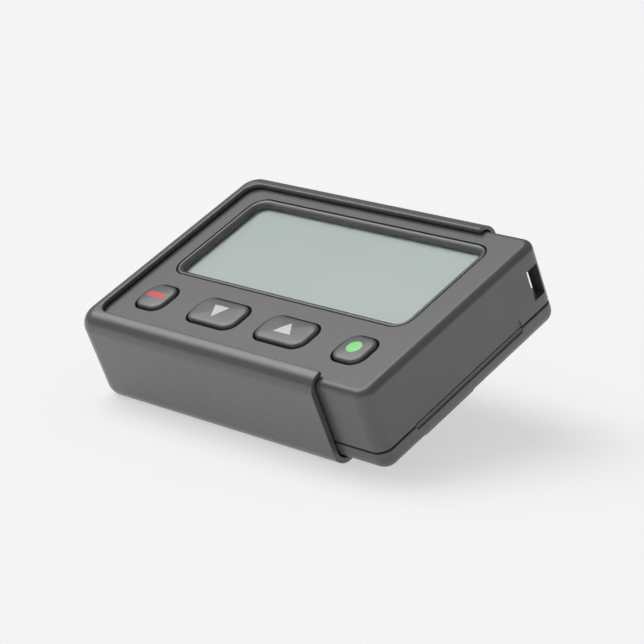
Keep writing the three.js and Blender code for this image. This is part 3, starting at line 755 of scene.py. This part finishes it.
def make_display():
    """Reflective panel close under a thin clear window."""
    x, y0, y1 = 31.0, WINDOW_Y0 - 0.15, WINDOW_Y1 + 0.15
    panel = pillow("lcd_glass", -x, x, y0, y1, -4.5, LCD_TOP, 2.4, 0.1, 0.05, 12, 3)
    settle(panel, LCD, "pager", "lcd_panel", slot="lcd_glass")
    x, y0, y1 = WINDOW_X - 0.05, WINDOW_Y0 + 0.05, WINDOW_Y1 - 0.05
    lens = pillow("window_lens", -x, x, y0, y1, LENS_FOOT, LENS_TOP, 2.25, 0.05, 0.08, 12, 3)
    settle(lens, LENS, "pager", "display_lens", slot="lens_acrylic")


def mark_outline(name, x):
    """Bar, down triangle, up triangle or dot, seen from above."""
    y = BUTTON_Y
    if name == "power":
        left, right, near, far = x - 2.6, x + 2.15, y - 0.75, y + 0.85
        return rounded_polygon([(left, near), (right, near), (right, far), (left, far)], 0.3)
    if name == "down":
        return rounded_polygon([(x - 2.1, y + 1.6), (x - 0.05, y - 1.85), (x + 2.0, y + 1.6)], 0.14)
    if name == "up":
        return rounded_polygon([(x - 2.3, y - 1.25), (x + 2.3, y - 1.25), (x, y + 1.9)], 0.12)
    return [point[:2] for point in circle(x, y + 0.1, 1.6, 0, 40)]


def rounded_polygon(points, radius, steps=4):
    """Polygon with each corner replaced by a short curve."""
    result = []
    count = len(points)
    for i, point in enumerate(points):
        here = Vector(point)
        before = (Vector(points[i - 1]) - here).normalized()
        after = (Vector(points[(i + 1) % count]) - here).normalized()
        start, end = here + before * radius, here + after * radius
        for k in range(steps + 1):
            t = k / steps
            result.append(tuple(start * (1 - t) ** 2 + here * 2 * t * (1 - t) + end * t * t))
    return result


def prism(name, points, z0, z1):
    if sum(a[0] * b[1] - b[0] * a[1] for a, b in zip(points, points[1:] + points[:1])) < 0:
        points = points[::-1]
    return loft(name, [[(x, y, z) for x, y in points] for z in (z0, z1)])


def button_cap(label, x, half):
    """The cap's soft-edged block under a faint dome."""
    hx, hy = half, BUTTON_HALF_Y
    rings = []
    for side, drop in CAP_EDGE:
        inset = CAP_INSET + side
        radius = BUTTON_RADIUS - CAP_INSET
        rings.append(
            outline(
                x - hx + inset,
                x + hx - inset,
                BUTTON_Y - hy + inset,
                BUTTON_Y + hy - inset,
                radius - side,
                CAP_TOP - drop,
                14,
            )
        )
    top = rings[-1]
    for share in (0.85, 0.65, 0.4, 0.15):
        z = CAP_TOP + CAP_DOME * (1 - share * share)
        rings.append([(x + (u - x) * share, BUTTON_Y + (v - BUTTON_Y) * share, z) for u, v, _ in top])
    return loft(label, rings)


def make_buttons():
    marks = {
        "power": (RED, "legend_red"),
        "down": (PALE, "legend_white"),
        "up": (PALE, "legend_white"),
        "select": (GREEN, "legend_green"),
    }
    for name, (x, half) in BUTTONS.items():
        cap = button_cap("cap_" + name, x, half)
        hx, hy = half + 0.8, BUTTON_HALF_Y + 0.8
        flange = pillow(
            "flange", x - hx, x + hx, BUTTON_Y - hy, BUTTON_Y + hy, -2.3, -1.62, 3.2
        )
        stem = rod("stem", x, BUTTON_Y, 1.6, -2.75, -2.0, 24)
        boolean(cap, [flange, stem], "UNION")
        points = mark_outline(name, x)
        boolean(cap, [prism("pocket", points, BUTTON_TOP - 0.45, OVER)])
        weld(cap)
        body, slot = "button_" + name, "housing_plastic"
        settle(cap, BUTTON, body, body, slot=slot)
        paint, slot = marks[name]
        mark = button_cap("mark_" + name, x, half)
        boolean(mark, [prism("column", points, BUTTON_TOP - 0.4, OVER)], "INTERSECT")
        weld(mark)
        settle(mark, paint, body, "legend_" + name, slot=slot)


def make_holster():
    shell = pillow(
        "holster_moulding",
        HOLSTER_X0,
        PAST,
        -HOLSTER_Y,
        HOLSTER_Y,
        HOLSTER_BACK,
        HOLSTER_TOP,
        HOLSTER_CORNER,
        HOLSTER_ROUND,
        HOLSTER_ROUND,
        16,
        12,
    )
    hollow = pillow(
        "hollow",
        -BODY_X - CLEARANCE,
        PAST + 20,
        -BODY_Y - CLEARANCE,
        BODY_Y + CLEARANCE,
        -BODY_DEPTH - CLEARANCE,
        LIP_FOOT,
        BODY_CORNER + CLEARANCE,
        BACK_BEVEL,
        FACE_BEVEL,
    )
    mouth = flared_hole(
        "mouth", LIP_X0, PAST + 20, -LIP_Y, LIP_Y, -3, HOLSTER_TOP, 3.2, 0.3, 14
    )
    end = block("end", HOLSTER_X1, PAST + 30, -PAST, PAST, -PAST, PAST)
    cutters = [hollow, mouth, end]
    for x, y in RIVETS:
        cutters.append(rod("rivet", x, y, 1.25, UNDER, -15, 20))
        cutters.append(rod("sink", x, y, 2.2, -18.95, -15, 24))
    boolean(shell, cutters)
    weld(shell)
    soften(shell, 0.22)
    settle(shell, HOLSTER, "holster", "holster_shell", slot="holster_plastic")


def wire(name, points, sides=10):
    """Round wire along a list of points, each ring square to the way there."""
    points = [Vector(p) for p in points]
    last = len(points) - 1
    across = Vector((1.0, 0.0, 0.0))
    rings = []
    for i, point in enumerate(points):
        way = (points[min(i + 1, last)] - points[max(i - 1, 0)]).normalized()
        across = (across - way * across.dot(way)).normalized()
        up = way.cross(across)
        flat = circle(0, 0, WIRE_RADIUS, 0, sides)
        rings.append([tuple(point + across * u + up * v) for u, v, _ in flat])
    return loft(name, rings)


def round_pin(x, degrees):
    """Point of the spring's coil at an angle round the clip pin."""
    a = math.radians(degrees)
    return (x, PIN_Y + COIL_RADIUS * math.cos(a), PIN_Z + COIL_RADIUS * math.sin(a))


def make_clip_spring():
    """Torsion spring on the clip pin: the coil stays with the bracket, one leg follows the lever."""
    x = CLIP_MIDDLE - COIL_HALF
    coil = [
        (x - 0.2, PIN_Y - 3.7, -21.2),
        (x - 0.2, PIN_Y - 2.5, -21.6),
        (x - 0.15, PIN_Y - 1.5, -22.1),
    ]
    count = 24 * COIL_TURNS
    coil += [
        round_pin(x + 2 * COIL_HALF * i / count, 112 + 360 * COIL_TURNS * i / count)
        for i in range(count + 1)
    ]
    settle(wire("spring_coil", coil), STEEL, "holster", "clip_spring", slot="steel")
    x = CLIP_MIDDLE + COIL_HALF + 0.63
    leg = [round_pin(x, degrees) for degrees in (40, 60, 80, 100)]
    leg += [(x, PIN_Y - 1.3, PIN_Z + 1.85), (x, PIN_Y - 2.4, PIN_Z + 1.95)]
    leg.append((x, PIN_Y - 4.6, PIN_Z + 2.05))
    settle(wire("spring_leg", leg), STEEL, "clip", "clip_spring", slot="steel")


def make_clip_lever():
    """The CAD lever's own shape, with its long edges rounded and its curved side smooth."""
    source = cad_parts["clip_lever"]
    verts = [source.matrix_world @ v.co for v in source.data.vertices]
    faces = [p.vertices for p in source.data.polygons]
    lever = raw_object("lever_moulding", verts, faces)
    weld(lever, 1e-6)
    fix_normals(lever)
    soften(lever, 0.4 * MM)
    smooth(lever, 40)
    assign(lever, CLIP, "clip", "clip_lever", slot="black_plastic")


def dress_cad():
    """Materials for the CAD nodes that keep their own shape, some with softened edges."""
    looks = {
        CLIP: ["clip_bracket"],
        RIVET: ["rivet_left", "rivet_right"],
        STEEL: [
            "clip_pin",
            "screw_front_left",
            "screw_front_right",
            "screw_far_left",
            "screw_far_right",
            "switch_power",
            "switch_down",
            "switch_up",
            "switch_select",
            "rf_shield",
            "crystal_can",
            "motor_can",
            "motor_shaft",
            "contact_positive",
            "contact_negative",
        ],
        BLACK: ["lcd_frame", "alert_speaker"],
        WHITE: ["backlight_panel"],
        RUBBER: ["zebra_connector", "motor_boot"],
        BOARD: ["main_board", "keypad_board"],
        FLEX: ["keypad_flex"],
        EPOXY: ["processor_chip"],
        COPPER: ["loop_antenna"],
        TUNGSTEN: ["eccentric_weight"],
        CELL: ["battery_cell"],
    }
    for material, nodes in looks.items():
        for node in nodes:
            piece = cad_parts[node]
            piece.data.materials.clear()
            piece.data.materials.append(material)
    for node, width in {"clip_bracket": 0.25, "rf_shield": 0.2, "processor_chip": 0.15}.items():
        edge_bevel(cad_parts[node], width * MM, 38)


# ------------------------------------------------------------------ the scene


def make_floor():
    bpy.ops.mesh.primitive_plane_add(size=8.0, location=(0, 0, 0))
    floor = bpy.context.object
    floor.name = "floor"
    n = Nodes("pale_floor")
    shader = n.principled(Roughness=0.9, Specular_IOR_Level=0.1)
    shader.inputs["Base Color"].default_value = (FLOOR_TONE, FLOOR_TONE, FLOOR_TONE, 1.0)
    shader.inputs["Emission Color"].default_value = (1.0, 1.0, 1.0, 1.0)
    shader.inputs["Emission Strength"].default_value = FLOOR_GLOW
    floor.data.materials.append(n.material)


def make_surround():
    """Dim surround with one broad soft source high on the left, as a world shader."""
    world = bpy.data.worlds.new("studio")
    world.use_nodes = True
    tree = world.node_tree
    coords = tree.nodes.new("ShaderNodeTexCoord")
    facing = tree.nodes.new("ShaderNodeVectorMath")
    facing.operation = "DOT_PRODUCT"
    facing.inputs[1].default_value = LIGHT_DIRECTION
    ramp = tree.nodes.new("ShaderNodeMapRange")
    ramp.interpolation_type = "SMOOTHSTEP"
    ramp.inputs["From Min"].default_value = 0.83
    ramp.inputs["From Max"].default_value = 0.985
    ramp.inputs["To Min"].default_value = WORLD_BASE
    ramp.inputs["To Max"].default_value = WORLD_PEAK
    background = tree.nodes["Background"]
    background.inputs["Color"].default_value = (1.0, 1.0, 1.0, 1.0)
    tree.links.new(coords.outputs["Generated"], facing.inputs[0])
    tree.links.new(facing.outputs["Value"], ramp.inputs["Value"])
    tree.links.new(ramp.outputs["Result"], background.inputs["Strength"])
    bpy.context.scene.world = world


def make_key_light():
    """Small square light in the middle of the soft source."""
    data = bpy.data.lights.new("key", "AREA")
    data.shape = "SQUARE"
    data.size = KEY_SIZE
    data.energy = KEY_POWER
    light = bpy.data.objects.new("key", data)
    light.location = LIGHT_DIRECTION
    aim = Vector((0, 0, 0.02)) - light.location
    light.rotation_mode = "QUATERNION"
    light.rotation_quaternion = aim.to_track_quat("-Z", "Y")
    bpy.context.scene.collection.objects.link(light)


def make_camera():
    """Long lens, three-quarter view from the right front corner."""
    data = bpy.data.cameras.new("camera")
    data.sensor_width = SENSOR_MM
    data.lens = LENS_MM
    data.clip_start, data.clip_end = 0.01, 20.0
    camera = bpy.data.objects.new("camera", data)
    low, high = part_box("backlight_panel")
    camera.location = (low + high) / 2 + Vector(CAMERA_OFFSET) * MM
    level = math.cos(CAMERA_ELEVATION)
    back = Vector(
        (
            math.sin(CAMERA_AZIMUTH) * level,
            -math.cos(CAMERA_AZIMUTH) * level,
            math.sin(CAMERA_ELEVATION),
        )
    )
    camera.rotation_mode = "QUATERNION"
    camera.rotation_quaternion = (-back).to_track_quat("-Z", "Y")
    bpy.context.scene.collection.objects.link(camera)
    bpy.context.scene.camera = camera


make_camera()
make_front()
make_rear()
make_door()
make_rim()
make_display()
make_buttons()
make_holster()
make_clip_spring()
make_clip_lever()
dress_cad()
make_floor()
make_surround()
make_key_light()
bpy.context.scene.view_settings.view_transform = "Standard"
